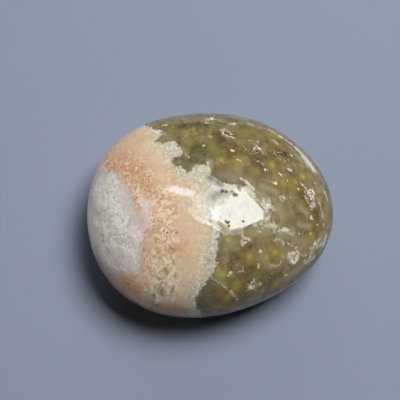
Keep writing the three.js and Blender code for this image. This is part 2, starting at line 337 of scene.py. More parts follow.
# ----------------------------------------------------------
# The growths inside the bands. Soft round orbs and murky pools in the moss, cream specks, crusts
# of grainy quartz round the vugs, and hair-thin veins. Each is a ball or a string of balls that
# the polish has cut through: its half width, then the places that it runs through, from above.
# A few of these strings, along the rim, are painted shade, reflection or light instead, as noted at
# each.
GROWTHS = {  # a place with a third number isn't on the crown, but this high above the foot
    "olive": [
        (2.4, (-7.6, 17.4)), (2.3, (-4.6, 13.6)), (2.6, (0.8, 11.6), (1.2, 9.6)), (2.4, (8, 11.4)),
        (2.4, (9.6, 14.6), (12.4, 14.8)), (2.4, (13.8, 5), (13.6, 3.4)), (1.9, (18, -6.8)),
        (2.2, (16, 13.4), (18.6, 13.2)), (2.6, (12.8, -6), (13.2, -9)), (2, (21.2, 3.6)),
        (2.2, (5, -19.4)), (2, (7.6, -13.4)), (2.2, (-4.4, -22.8)), (1.6, (17.4, -20.4)),
        (2, (9.4, 2.8)), (2.2, (14.8, -2)), (2.2, (-6, 21)), (2, (22.2, -11.6)),
        (2.3, (16.8, -0.6), (18, -1.6)), (2, (7.4, -17.4)), (1.5, (26, -5.4), (25.8, -9)),
    ],
    "gold": [
        (1.1, (-2.2, 15.6)), (2.4, (5.8, 6.2)), (1.8, (1.8, 7)), (2, (19.9, -13.2)), (2.6, (9.9, -16.4)),
        (1.6, (-1.8, -22.9), (-3, -23.6)), (3, (-0.7, -21.8)), (2.6, (3.3, -16.9)), (2.2, (9.4, -22.4)),
        (1.5, (18.6, -0.4)), (1.6, (15.4, -0.6)),
    ],
    "lime": [
        (1.9, (21.3, 1.2)), (1.8, (-1.1, -12.1)), (2, (-4.6, -18.3), (-3.6, -19)), (1.2, (18.9, 13.2)),
        (1, (0.9, 14.2)), (1.6, (7.4, -17.2)), (1.4, (13.8, 4.4)), (1.2, (11.2, -16.9)),
        (1.2, (8.5, -15.5)),
    ],
    "amber": [
        (1.7, (17.8, 10.3)), (1.7, (3, -16.6)), (1.4, (11.4, -22.6), (12, -23.2)), (1.3, (17, -21)),
        (1.4, (-10.4, 21.6)), (0.9, (1.2, -20.6), (1.6, -21.6)), (1.9, (-5.6, -24.8), (-1, -25.2)),
    ],
    "cores": [
        (1, (3.2, -16.4)), (0.8, (-1.1, -12.4)), (1, (9.4, -16.2)), (0.7, (19.8, -12.8)),
        (0.9, (21.3, 1)), (0.7, (0.9, 14.2)), (0.8, (1.7, 6.9)), (0.9, (-2.4, 17.2)),
        (0.6, (-4.6, 15.4)), (1, (5.9, 6.4)),
    ],
    "murk": [
        (1.3, (1.4, 4.2)), (2.6, (-3.2, 9.4), (-2.6, 11)), (1.6, (-7, 8.4), (-6.2, 9.2)),
        (1.3, (-6.8, 6.6), (-6.6, 4.8)), (1.6, (3, 11.8), (5.6, 11.2)), (1.6, (2.2, 4.6), (3.2, 4)),
        (1.9, (8.6, 8.8), (11.6, 6.8)), (1.5, (11.2, 5.2), (11.8, 1.8)), (1.9, (14.4, 7.8), (18.4, 7)),
        (1.5, (18.4, 5), (18.8, 0.6)), (2, (19.2, -3.2), (20.8, -4.8)),
        (1.4, (20.4, -9.4), (18.4, -10.4)), (1.5, (22.2, -7.8), (23.2, -9)),
        (2.4, (-2.6, -15.4), (-1, -16)), (1.4, (3.4, -13.9), (5.2, -14.2)),
        (1.5, (1.2, -18.4), (2.8, -19.4)), (1.6, (1.8, -21), (2.2, -23.6)), (1.6, (7.8, -20.2)),
        (2.2, (-6.4, -21.4)), (2.6, (-8.4, -24.4), (-5.6, -24.8)), (1.8, (-3.6, 18.6), (0.6, 18)),
        (2, (5.6, 18.8), (8.6, 19.6)), (1.4, (13.4, 11.6)), (1.4, (16.2, 5.8), (16.8, 3.2)),
        (1.4, (3.4, 14.8), (3.4, 16.4)), (1.2, (9.2, 12.8)), (1.6, (-7.2, 14.2)),
    ],
    "taupe": [
        (2.2, (1, 3), (4.4, 2)), (1.5, (5.4, 1.4), (7.6, 0.2)), (0.9, (12, 0.2)),
        (1.3, (15.2, -4.4), (15.4, -8.4)), (1.3, (11.6, -13.5), (15, -13)), (1.6, (9.6, -8.2)),
        (2, (24.6, 3.8), (26.4, 2.6)), (1.4, (-2.2, -9.8), (-3, -12)), (1.4, (-11, 15.8), (-9.4, 15.6)),
        (1.3, (-6.2, -17.7)), (1.5, (-9.4, 17.2), (-8.4, 15.4)), (2, (26.2, -1.6)), (1.6, (22.6, -1.2)),
        (2, (9, 21), (12, 19.6)), (1.5, (21, 9)), (1.2, (16.4, 6.2)),
    ],
    # Hazy pale orbs in the moss; the strings low along the front rim, such as (3, -24.6) to (5.2, -24.4)
    # and (13, -21.4) to (18, -18.6), are also painted light, laid lighter for the glow of light shining
    # through the rim
    "haze and rim glow": [
        (2.4, (7.8, -2), (9.8, -4.4)), (1.6, (9.8, -1)), (2.8, (5, -11.4), (8.8, -11.4)), (2, (5, 4.2)),
        (2, (3, -24.6), (5.2, -24.4)), (2.4, (13, -21.4), (18, -18.6)), (2, (12.4, -6), (12.8, -8.6)),
        (2, (20.6, -15.8), (23, -13.4)), (1.8, (23.6, 4.4)), (1.6, (11, -13), (13.6, -12)),
        (1.5, (7.8, -18.9), (10.4, -19)), (2.4, (15.2, -14.2), (19.6, -14.4)),
        (2.2, (12.6, -21), (15, -20.2)), (1.8, (11.2, -1.8), (12.8, -2.8)),
        (1.4, (17, -10.6), (19.6, -11.4)), (1.6, (17.2, -16.8), (19.6, -17)),
        (2.4, (6.2, -15.8), (7, -18)), (2, (11.6, -15.8), (12.4, -17)), (1.4, (-1, -8.6), (-1, -13.2)),
        (1.6, (18.6, -7), (19.8, -8.4)), (1.8, (14, -11.9), (15, -12)),
        (1.8, (13.4, -17.1), (17.4, -15.4)), (2, (20.6, -14.8), (22.6, -15)), (1.8, (24.8, -2.4)),
        (1.6, (5.4, 19.4)), (1.5, (-2.6, -16.4)), (1.4, (2.6, -13)), (1.8, (24.4, -8.4)),
        (1.4, (12.6, -19.6)), (2.2, (22.8, -14.6), (24.8, -12.6)), (1.4, (4.2, -22.8)),
        (1.8, (-4.2, -20), (-3.6, -19)), (1.4, (-3.4, -20.9)), (1.4, (-1.6, -19.6)), (1.6, (11.9, -4.5)),
        (1.4, (11.3, -17.6)), (1.2, (20, 4.4)), (1.4, (10.4, -14.8)), (1.4, (-1, 5.8), (-1, 7.2)),
        (2.2, (14, -15.6)), (2.2, (19.2, -15.8)), (2, (22.6, 6)), (1.7, (24.2, -4.6)),
        (1.6, (14.8, -12.4)), (1.8, (-2, -14)), (1.2, (3.4, 1.4)), (1.4, (10.6, -8.6)),
        (1.2, (6.4, -9.9)), (1.2, (0.2, -12.9)), (1.2, (3.9, -22)), (1.4, (22.8, -15.9)),
        (1.2, (24.8, -0.4)), (1.4, (29.4, 1.4)), (1.2, (0.6, 6.5)), (1.4, (11.8, -10.4)),
        (1.2, (21.6, 7.2)), (1.2, (22.2, 4.2)), (1.3, (11.6, -17.4), (9.7, -17.9)), (1.3, (6.1, -22.9)),
        (1.3, (-2, -13.2)), (1, (-8.2, 8.2)), (1.3, (11.9, -20.2)),
    ],
    "slate": [
        (2.6, (-6.8, -20.6), (-7.8, -23)), (0.9, (-1.8, -12.4), (-2.8, -14.8)), (0.8, (-6.1, -20.3)),
        (1.2, (-7.2, 6.4), (-6.8, 8)), (1.6, (-3.6, 9.4), (-2.2, 8.2)), (1.7, (-3.8, -15.8)),
        (1.6, (1, 3.6)), (1.6, (15, -11)), (1.5, (11, -12.4)), (1.6, (4.6, 1.2)), (1.6, (8.4, 11.6)),
        (1.6, (22.8, -6.8)), (1.4, (12, 3)),
    ],
    "smoke": [
        (1.7, (-2.6, -1.9), (-0.4, -1.4)), (2.2, (-1.6, -4.2), (1.4, -3.2)), (1.2, (-2, 2.8)),
        (0.9, (-0.8, 1.6), (0.2, 0.3)),
    ],
    "dull": [
        (2.4, (-4.2, -3), (-1.6, -1.6)), (1.4, (-0.4, -1.8), (1.8, -0.6)),
        (1.8, (-6.6, -4.6), (-5, -5.6)), (1, (-1.4, -10), (-2.4, -8.8)), (0.8, (-4, -7.4), (-3, -8.4)),
        (0.8, (9.1, -8)), (0.8, (4.3, -0.5)), (0.5, (-12.1, 2.5)), (0.7, (0.2, -10.6), (2.2, -10.7)),
    ],
    "milk": [
        (0.8, (9.4, -5.2), (10.8, -6.4)), (0.8, (7.6, -10.1), (10.6, -10.6)),
        (0.75, (10.3, -11.3), (14.6, -12.6)), (0.7, (21.6, -15.4), (23.2, -14.8)),
        (0.5, (19.6, 13), (20.8, 12)), (0.45, (26.8, -2.2), (27.2, -4.4)),
        (0.35, (23.8, -4.6), (24.4, -9)), (0.8, (26.6, -12.2), (25, -14.6)),
        (0.35, (12, 17.8), (13.4, 17)), (0.8, (17.6, -18.6), (20.8, -17.4)),
        (0.8, (7.2, -3.4), (8.3, -5)), (0.8, (19.3, -15.8)), (0.9, (6, -9.7), (9, -8.9)),
        (0.6, (6.4, -11.4)), (0.5, (14.5, -15.2)), (0.5, (11.6, -17.3)),
    ],
    # Pale cream veins by the window; the strings along the upper right rim, from (19, 13.8) to (25.4,
    # 3.6) and at (27.6, 7.2), paint a reflection, a white streak of glare
    "veil and rim glare": [
        (0.3, (4.8, 1.8), (5.8, 1)), (0.45, (6.1, 0.7), (7.4, -1.4)), (0.8, (5.8, -1.2), (6.8, -2.6)),
        (0.6, (4.9, -1), (5.6, -1.8)), (0.4, (21, 11.8), (21.8, 10.9)), (0.5, (24.8, -13), (23.6, -15)),
        (0.8, (22.6, 9.8), (23.9, 7.6)), (1.1, (23.9, 7.2), (25, 5)), (1.2, (24.6, 5.6), (25.4, 3.6)),
        (0.3, (19, 13.8), (20.2, 12.8)), (0.5, (12.6, -11.5), (13.6, -11.8)),
        (0.8, (27.6, 7.2), (28, 6.2)), (0.5, (8.5, -5.2), (9.3, -6.8)),
    ],
    "crusts": [
        (0.4, (4.3, 15.7), (5.1, 15.9), (5.9, 15.1), (6.4, 14.2)),
        (0.42, (4.3, 15.7), (4.6, 14.4), (5.4, 13.4)), (0.36, (5.4, 13.4), (6.4, 12.9)),
        (0.72, (13.4, -16.8), (13.4, -17.9), (14.5, -18.6), (15.3, -18), (15.6, -16.9)),
        (0.42, (15.8, -16.9), (15.2, -15.5)), (0.5, (13.8, -16.7), (15.4, -16.9)),
        (0.65, (14.15, -17.7)), (0.5, (-15.8, -7), (-14.9, -6.7)),
        (0.45, (-15.4, -8.4), (-14.8, -9.6), (-14.9, -11)), (0.5, (-13.4, -6.5), (-12.6, -7.6)),
        (0.9, (-14.2, -9.9), (-13.2, -9.5)), (0.45, (-14.4, -7.5)), (0.35, (-13, -8.4)),
        (0.75, (2.2, 20.3), (3.4, 20.5)), (0.5, (1.8, 18.9)), (0.45, (7, 17.6), (8.4, 17.8)),
        (0.45, (17.2, 15.7), (18.4, 14.6)), (0.5, (16.3, 11.7), (17.2, 10.9)),
        (0.4, (11.4, 9.9), (12, 9)), (0.3, (12.5, 8.2)), (0.38, (10.9, 9.4), (10.4, 8.8), (10.9, 8.2)),
        (0.95, (2.9, -22.5)), (0.45, (3.6, -21.4)), (0.5, (4.6, -22.2), (5.4, -22)), (0.4, (5.8, -23.4)),
        (1.1, (21.9, -3.4), (21.9, -4.2)), (0.5, (21.4, -2.4), (22.9, -2.6)), (0.45, (23.4, -3.2)),
        (0.25, (20.2, -4.2), (20.9, -5.8)), (0.65, (22.3, -5.9), (21, -6.7)), (0.45, (22.5, -4.8)),
        (0.3, (24.3, -4.7), (24, -5.8)), (0.36, (20.2, -0.8), (20.8, -1.6), (21.4, -2.2)),
        (0.44, (2.3, -11.4), (2.6, -12.4), (1.9, -13.6)), (0.44, (2.6, -12.2), (4, -12.9)),
        (0.3, (2.2, -13.4), (3.2, -13.2)), (0.55, (20.3, -15.8), (20.8, -14.9), (22.4, -14)),
        (0.45, (21.4, -15.2)), (0.5, (19.6, -16.8), (19, -17.8)), (0.85, (9.2, -5), (10.4, -6.2)),
        (0.55, (10.4, -4.6)), (0.45, (11.2, -6.8)), (0.36, (9.9, -13.8), (11.2, -13.5)),
        (0.36, (11.7, -13.9), (11.9, -14.7)), (0.32, (12.8, -14.5), (13.4, -14.8)),
        (0.36, (14.4, -3.8), (14.4, -4.8)), (0.36, (13.5, -4), (13.6, -5)),
        (0.45, (-1.6, -8), (-0.9, -8.8)), (0.34, (-5.2, -7), (-4.2, -8.2)),
        (0.36, (-13.5, 1.6), (-13, 2.2)), (0.3, (-14.3, 1)), (0.5, (-15.1, 7.7), (-14.9, 7.1)),
        (0.6, (-11.2, 18.8), (-10.8, 18)), (0.26, (-6.8, 10.6), (-6, 10), (-5.6, 9)),
        (0.9, (-15.2, -18.7)), (0.7, (-18.4, -20.5), (-18.8, -21.2)),
        (0.5, (-17.2, -18.4), (-16.6, -19.4)),
    ],
    "specks": [
        (0.5, (-1.2, 11.9)), (0.38, (5, 9.2), (5.6, 9.2)), (0.55, (5.8, 6.5)), (0.36, (10.5, 5.7)),
        (0.34, (11.4, 4.7)), (0.52, (11.8, 3.2)), (0.32, (14.9, 2.3), (15.4, 1.4)),
        (0.5, (12.6, -0.6), (13.4, -0.3)), (0.36, (16, 9.9)), (0.52, (18, 2.9), (18.6, 2.7)),
        (0.34, (19.6, 4.1)), (0.36, (20, 7.3), (20.3, 6.8)), (0.3, (18.6, 5.8)), (0.35, (16.6, -0.1)),
        (0.38, (18.9, -2.3)), (0.32, (24.3, -0.6)), (0.42, (21, -7.3)),
        (0.46, (20.6, -8.8), (20.8, -9.4)), (0.36, (22.2, -10.8)), (0.3, (24.2, -10.4), (24.2, -11)),
        (0.36, (25.3, -11.3)), (0.52, (6.1, -15.6)), (0.42, (5.2, -18.2), (5, -18.8)),
        (0.26, (1.2, -18.4)), (0.4, (-2.3, -19.5), (-1.7, -18.9)), (0.3, (7.7, -21.1)),
        (0.46, (12, -20.9)), (0.36, (12.3, -22.5)), (0.3, (1, -23.6)), (0.3, (17, -17.2)),
        (0.32, (16.4, -12.2), (16.5, -12.8)), (0.26, (16.6, -13.6)), (0.34, (19.8, -12.8)),
        (0.26, (-5.1, -17.5)), (0.34, (16.2, -4.3)), (0.26, (16.2, -5.9)), (0.24, (15.2, -7.2)),
        (0.3, (17.3, -18.9)), (0.4, (-8.8, 20.3), (-8.1, 20.3)), (0.32, (-12, 15.9)), (0.3, (9.9, 11.8)),
        (0.28, (8.4, 9.2)), (0.24, (19.2, 9.8)), (0.24, (21.3, 5.4)), (0.26, (12.2, 11.2)),
        (0.26, (17.4, 8)), (0.26, (22.9, 3)), (0.24, (13.6, -9.6)), (0.24, (8.4, -20.6)),
        (0.22, (-2, -17.2)), (0.24, (13.2, 7.6)), (0.24, (20.4, 0.4)), (0.28, (17.8, 5.2)),
        (0.24, (-6.8, 19.2)), (0.26, (10.2, 12.6)),
    ],
    "veins": [
        (0.3, (-7.4, -18.2), (-6, -19.5), (-4.4, -20.8), (-3.2, -21.7), (-1.8, -22.9), (-0.4, -24.2)),
        (0.42, (-2.4, -22.4), (-1, -23.6)), (0.24, (0.1, -19.1), (1, -19), (1.6, -19.3)),
        (0.18, (15.8, 16), (17.6, 14.6), (19, 13.4)), (0.2, (14, 8.8), (15.6, 8), (17.6, 7.9)),
        (0.18, (15, 7.6), (16.8, 6.9)), (0.22, (7.6, -18.3), (8.8, -19), (10.2, -18.9), (11.2, -18)),
        (0.2, (13, -14.6), (15, -14.8)), (0.2, (16.4, -17.4), (18.2, -17.2)),
    ],
    "rust": [
        (3.4, (-24, 13.6), (-21, 11.8)), (3.4, (-20.2, 10.4), (-18.2, 8)),
        (2.8, (-17.6, 6), (-16.4, 2.8)), (1.8, (-19.6, -6.8), (-20, -12.4)),
        (1.6, (-19.4, -12.4), (-19.6, -14.2)), (2.4, (-18, -5), (-16, -4)),
        (2.2, (-16.4, -11.4), (-12.4, -12.4)), (1.8, (-20, 2.6), (-20, -0.2)),
        (2, (-13.6, -1.6), (-12, -4)), (1.8, (-10.4, 6.4), (-9.4, 4.6)),
        (1.8, (-13.6, -9.6), (-11.8, -11)), (2, (-17.6, -8.6)), (1.6, (-14.6, 0), (-12.2, -0.4)),
        (2.4, (-20.6, 7.6), (-19.6, 4.6)), (1.6, (-20.4, -16.8)),
    ],
    "pale": [
        (5.2, (-6.8, -4)), (3.6, (-9.6, -8)), (3.2, (-8.4, -12)), (2.4, (-10.8, 0.6)), (2.4, (-13, 15)),
        (1.8, (-17.4, -0.9)), (1.4, (-13.2, -9.8)), (3.4, (-9.6, -17.4)), (2.6, (-7.2, 6.2)),
        (1.8, (-14.6, -3.2)), (2.6, (-12, 10.6)), (2.6, (-12.4, 5.6)),
    ],
    "curls": [
        (0.42, (-18.7, -12.9), (-17.8, -13.8), (-18.7, -14.5)),
        (0.42, (-20.1, -14.6), (-20.5, -15.8), (-19.7, -16.7)),
        (0.4, (-17.5, -15.1), (-18.1, -16), (-17.7, -16.7)),
        (0.45, (-16, -17.5), (-14.5, -16.4), (-13.2, -16.2)), (0.45, (-13.2, -16.2), (-12.6, -15.2)),
        (0.4, (-18.7, -17.5), (-17.6, -17.7), (-16, -17.7)),
        (0.42, (-12.8, -17.4), (-14, -18.7), (-14.5, -20)), (0.38, (-20.8, -17.7), (-20.7, -18.7)),
        (0.38, (-18.6, -19.9), (-18, -21)),
        (0.4, (-21.1, -12.8), (-21.7, -14.1), (-21.5, -15.5), (-22.3, -16)),
        (0.45, (-25.5, -12.7), (-24.8, -14.3), (-23.4, -15), (-22.3, -16)),
        (0.38, (-14.8, -21.2), (-15.3, -22)), (0.36, (-16.6, -12.6), (-15.6, -13.6), (-15.8, -14.6)),
        (0.34, (-19.2, -18.2), (-19.8, -19.2)), (0.36, (-15, -14.4), (-14, -13.4), (-12.8, -13.8)),
        (0.34, (-16.6, -19.4), (-15.8, -20.4)),
    ],
    "crumbs": [
        (0.5, (-15.2, 6.9)), (0.85, (-19.4, 1.2), (-18.8, 0.6)), (0.6, (-21.1, 4.8), (-20.6, 5.6)),
        (0.7, (-15.8, -0.2)), (0.8, (-13.8, -0.9), (-12.8, -1.4)), (0.95, (-14.9, -2.4), (-14.5, -3.6)),
        (0.7, (-13.1, -3.4)), (0.65, (-12, -4.8)), (0.6, (-12.9, -5.4)), (0.6, (-17.2, -3.6)),
        (0.6, (-17.6, 9.2)), (0.55, (-20.4, 8.8)), (0.5, (-16.2, -5)), (0.7, (-19, 3.2), (-18.4, 2.4)),
        (0.55, (-16.4, -13.6)), (0.5, (-11.4, 0.4)), (0.45, (-19.6, 11.4)), (0.5, (-17, 3.8)),
        (0.5, (-12.4, 2.2)), (0.5, (-18.2, -10.8), (-18, -11.8)), (0.45, (-13.8, -6)),
        (0.5, (-16.6, -8.2)),
    ],
    "sparks": [
        (1.3, (22.1, -3.2)), (0.8, (3, -22.4)), (1, (14.4, -18.2)), (0.7, (13.6, -17), (15, -16.9)),
        (0.5, (2.4, -12)), (0.5, (-15.5, -7), (-14.2, -6.6)), (0.6, (3.2, 20.4), (4.2, 20.2)),
        (0.4, (11.9, 9.2)), (0.6, (22.4, -6.4)), (0.5, (8, 17.6)), (0.7, (-10.8, 18.6)),
        (0.4, (10, -5.6)), (0.5, (-14.6, -7.8)), (0.5, (-15.2, -18.7)), (0.5, (-18.5, -20.8)),
        (0.6, (21, -14.8)), (0.6, (14, -17.9)),
    ],
    "beige": [
        (4.4, (-16.4, -15.6), (-17.6, -19.4)), (3.4, (-13, -18.4)), (2.6, (-20.6, -17.6)),
        (2, (-13.6, -15.2)),
    ],
    "shadowy": [
        (0.8, (-17, -18), (-17.4, -18.8)), (1.1, (-17.2, -18.4), (-17.6, -19.8)),
        (0.6, (-16.2, -15.4), (-15.8, -16.6)), (0.5, (-18, -16.2), (-17.6, -17.4)),
        (0.4, (-14.2, -14.2), (-14, -15)), (0.5, (-14.8, -19.4), (-15.6, -20.6)),
        (0.6, (-19.4, -19.6), (-19, -20.6)), (0.4, (-14.2, -11.4), (-13.4, -12.2)),
        (0.5, (-13.2, -8), (-12.4, -8.4)), (0.4, (-20.2, 2.4), (-20, 1.6)), (0.5, (-14, -17.6)),
        (0.5, (-12.6, -16.4)),
    ],
    "butter": [
        (2.2, (-11.6, -15.6), (-11.8, -19)), (2.6, (-12.8, -21), (-11.6, -23.6)), (2.2, (-10.2, -24.6)),
        (1.2, (-19, -8.8), (-18.4, -9.8)),
    ],
    "lace": [
        (3.6, (-17.6, -13.6), (-14.4, -16)), (4.4, (-18, -18), (-13.6, -18.6)), (2.4, (-15, -3.6)),
        (2.6, (-13.6, -5)), (1.6, (-19, 3.6), (-18.6, 2.4)), (2, (-13.4, 1.6)), (3, (-21.6, -17.4)),
        (2, (-17, -9.6)), (1.6, (-13, -13.6)),
    ],
    "amber rim": [
        (2.3, (-24.6, -15.4), (-23, -17.2)), (1.6, (-19.2, -21.2), (-17, -22.6)),
        (1.8, (-15.2, -23), (-13.2, -24)), (1.4, (-11.6, -24.9), (-9.6, -25.2)),
        (2.2, (-20.6, -20.6, 9.2), (-16.8, -23.2, 8.6)), (2, (-15, -23.8, 9), (-12.2, -24.8, 8.2)),
    ],
    "umber": [
        (2, (-22.4, -19.4, 10.8), (-20.4, -21.2, 10.6)),
        (2.7, (-19.8, -21.6, 11.4), (-15.6, -23.8, 11.2)),
        (2.4, (-15.4, -23.8, 11.2), (-11.6, -24.8, 10.8)), (1.9, (5.7, -22.1), (7.8, -22)),
        (1, (2, -14.6)), (1.2, (1.6, -20.4), (2, -21.8)),
    ],
    "salmon": [
        (3, (-13, -11.6), (-8.6, -13.2)), (2.6, (-9.8, -7), (-9.4, -10)),
        (2, (-20.4, -12.6), (-20.8, -16)), (1.8, (-18.8, -9.8)),
    ],
    # Plum along the lower left rim is painted shade and reflection, not a colour of the stone
    "plum shade and sheen": [
        (2.9, (-28.6, -8.8, 11.4), (-26.4, -14, 11.2)), (2.6, (-25.4, -15.8, 11), (-22.6, -18.8, 10.6)),
        (2.4, (-23.4, -15.6, 5.4), (-20, -18.6, 5)),
    ],
    "cloud": [
        (1.7, (-27.6, 8.5), (-26.4, 4.3), (-24.5, 1.5), (-23.8, -2.6)),
        (1.6, (-23.6, 9.4), (-22.6, 5.4), (-24.4, 2.4)), (1.6, (-23.8, -2.6), (-22, -5.4), (-20.4, -7)),
        (1.5, (-27.6, -5.4), (-25.3, -8), (-22.5, -9.7)),
        (1.7, (-22.5, -9.7), (-22.9, -12), (-23.4, -13.6)), (1.4, (-17.2, 0.7), (-16.8, -0.8)),
        (1.4, (-20.2, -6.4)), (0.9, (-28.4, -0.4), (-27, -2.4), (-27.2, -4.8)),
        (1, (-26.4, 9.8), (-24.6, 7)),
    ],
    "glints": [
        (0.55, (-24.3, 1.4), (-23.6, 1)), (0.34, (-25.6, 4.7), (-24.6, 3.4), (-23.1, 0.9)),
        (0.36, (-29, 1.5), (-28.9, -0.5), (-27.4, -1.8), (-26.7, -1.5)),
        (0.34, (-25.6, -2), (-24.2, -3.6), (-22.9, -3.2), (-22, -2)), (0.36, (-20.5, -5.9), (-20, -7.8)),
        (0.3, (-22.1, -5.4), (-20.9, -7.8)), (0.32, (-25.8, -5.3), (-24.4, -5.7), (-23.2, -6.5)),
        (0.34, (-24.7, -7.8), (-22.8, -9.7)),
        (0.36, (-28.8, -6.4), (-28, -8.6), (-27.6, -10.2), (-26, -12.1)),
        (0.32, (-25.4, -12.1), (-24.1, -13.8)), (0.3, (-22.3, -10.2), (-22.3, -12.4)),
    ],
    # Pale quartz along the left rim, painted near white as painted light: it stands in for light that
    # falls short on that side
    "chalk and rim light": [
        (2.4, (-29.8, 4.6), (-30, 1), (-29.8, -3)), (1.6, (-28.6, -7.6), (-26.8, -11.6)),
    ],
    "frost": [
        (2.6, (-4.2, 5.4), (-3.4, 2.6)), (2.6, (-2.2, 1.2), (0.4, 0.2)),
        (1.8, (-9.4, 13.4), (-7.8, 12.8)), (1, (-4.2, -9.4), (-4.6, -12.6)),
        (1.5, (-5.5, -14.4), (-6.6, -16.2)), (1.4, (-8.6, -19.6), (-10.8, -22.4)),
        (1.2, (-10.9, -24.6), (-11, -25.6)), (1.2, (-4.4, -2.4), (-4.2, -6.6)), (1.4, (-5.6, 11.8)),
        (1.4, (-10.8, 18.6)), (1.5, (-3.4, -1.6), (-2.4, -3.4)), (1.2, (-3, -6), (-2.4, -7.2)),
        (0.8, (-5.3, 6.6)),
    ],
    "cream": [
        (4.2, (-6.4, 3.4), (-6.4, -5)), (2.8, (-6.2, -8.6), (-7.6, -16.4)), (3.2, (-10.6, -20)),
        (2.4, (-9.8, 8.4), (-8.6, 6.2)), (2.6, (-11.4, 11.8), (-11.2, 15.2)), (1.6, (-12.2, 19.4)),
    ],
    # Lilac quartz and milky patches; the strings along the upper left rim, from (-24.6, 15.6) to (-17.6,
    # 21.6), are a painted sheen of the room reflected in the polish
    "lilac and rim sheen": [
        (2.4, (-20.4, -3.6), (-21, -8.2)), (2.2, (-24.8, 11.4), (-25.4, 9.4)),
        (1.8, (-17.5, 0.2), (-18.2, -1.4)), (1.8, (-17.8, -2.6), (-18.4, -5)),
        (1.6, (-24.4, -14), (-27, -12.4)), (1.6, (-21.6, 5), (-20.6, 1.2)), (1.1, (-12.6, -10)),
        (2, (-26.6, 14.4), (-25.2, 13.4)), (2.2, (-28.4, 10), (-26, 12.4)),
        (2.6, (-24, -11.6), (-26.6, -9.6)), (1.6, (-24.6, 15.6), (-21.4, 19.2)),
        (1.6, (-21.4, 19.2), (-17.6, 21.6)),
    ],
}
HIDDEN_BELOW = 10.8  # above the foot: lower down, the growths are strewn and not placed by hand
HIDDEN_SLOPE = np.array([0.056, 0.114])  # and further up at the back right, along x and y
STREWN = {  # how many, and their smallest and largest half widths
    "olive": (80, 1.8, 2.8),
    "gold": (60, 1.6, 2.6),
    "lime": (36, 1.4, 2.4),
    "amber": (20, 1.2, 2.0),
    "cores": (40, 0.7, 1.0),
    "murk": (60, 1.2, 2.2),
    "taupe": (40, 1.4, 2.4),
    "milk": (20, 0.6, 1.2),
    "crusts": (110, 0.35, 0.8),
    "specks": (320, 0.3, 0.55),
    "rust": (26, 1.4, 3.0),
    "pale": (26, 1.6, 3.6),
    "lace": (22, 1.8, 3.6),
    "amber rim": (8, 1.4, 2.6),
    "lilac and rim sheen": (12, 1.4, 2.6),
    "haze and rim glow": (30, 1.4, 2.4),
    "slate": (24, 1.4, 2.4),
    "cloud": (16, 1.6, 3.0),
    "beige": (10, 1.8, 3.4),
    "shadowy": (40, 0.4, 1.2),
    "crumbs": (60, 0.4, 0.9),
    "curls": (40, 0.3, 0.5),
    "sparks": (70, 0.4, 0.8),
    "umber": (24, 1.2, 2.2),
    "salmon": (12, 1.8, 3.4),
    "chalk and rim light": (8, 1.6, 3.0),
    "veil and rim glare": (14, 0.5, 1.0),
    "cream": (10, 1.6, 3.0),
    "glints": (30, 0.3, 0.5),
}
SEED = 4
chance = np.random.default_rng(SEED)
hidden = points[points[:, 2] < HIDDEN_BELOW + points[:, :2] @ HIDDEN_SLOPE]
for name, (count, smallest, largest) in STREWN.items():
    for point in hidden[chance.integers(len(hidden), size=count)]:
        first = tuple(point)
        wander = chance.normal(0, 1.0, 3)
        GROWTHS[name].append((chance.uniform(smallest, largest), first, tuple(point + wander)))

by_length = np.argsort(points[:, 0])
lengthwise = points[by_length, 0]


def nearness(growths):
    """1 at the middle of the nearest growth, 0 at its rim, and down to -1 a half width outside."""
    share = np.full(len(points), -1.0, np.float32)
    for half_width, *places in growths:
        middles = [on_crown(*place) if len(place) == 2 else np.array(place) for place in places]
        for start, end in zip(middles, middles[1:] or middles):
            first, last = sorted((start[0], end[0]))
            reach = np.searchsorted(lengthwise, (first - 2 * half_width, last + 2 * half_width))
            near = by_length[slice(*reach)]
            gap, _ = to_line(points[near], start, end)
            share[near] = np.maximum(share[near], 1 - gap / half_width)
    return share


for name, growths in GROWTHS.items():
    store(name, nearness(growths))

# ----------------------------------------------------------
# The jasper. The pebble is chalcedony all through, coloured by iron and clay as it grew, and
# polished to a glassy skin that is matt only in the vugs and crusts. Its colours are mixed band by
# band, and the edge of every growth is broken up by the grains of the stone.
# Some of the colour along the rim and in the vugs is painted shade, reflection or light, as noted where
# it is laid.
finish = jasper.node_tree
finish.nodes.clear()


def add(kind, inputs, output, **settings):
    """What comes out of a new node of the finish."""
    return node_in(finish, "ShaderNode" + kind, inputs, **settings).outputs[output]


def stored(name):
    return add("Attribute", {}, "Fac", attribute_name=name)


def math_of(operation, *values):
    """A sum over a row of values, worked out from the first to the last."""
    total, *others = values
    for value in others:
        total = add("Math", {0: total, 1: value}, "Value", operation=operation)
    return total


def plus(*values):
    return math_of("ADD", *values)


def times(*values):
    return math_of("MULTIPLY", *values)


def most(*values):
    return math_of("MAXIMUM", *values)


def rise(value, low, high):
    """0 below low and 1 above high, smooth between them."""
    inputs = {"Value": value, "From Min": low, "From Max": high}
    return add("MapRange", inputs, "Result", interpolation_type="SMOOTHSTEP")


def paint(red, green, blue):
    """A colour as a paint chart gives it, 0 to 255, in the linear values that a shader takes."""
    return tuple(((c / 255 + 0.055) / 1.055) ** 2.4 for c in (red, green, blue)) + (1.0,)


def blend(share, under, over):
    return add("Mix", {0: share, 6: under, 7: over}, 2, data_type="RGBA")


def laid(under, share, strength, colour):
    """One colour laid over another where the share is 1, as strongly as told."""
    return blend(times(share, strength), under, paint(*colour))


def shades(value, *stops):
    """A row of colours: for each, its place from 0 to 1, then its red, green and blue."""
    ramp = node_in(finish, "ShaderNodeValToRGB", {"Fac": value})
    row = ramp.color_ramp.elements
    for number, (place, *colour) in enumerate(stops):
        stop = row[number] if number < 2 else row.new(place)
        stop.position = place
        stop.color = paint(*colour)
    return ramp.outputs["Color"]


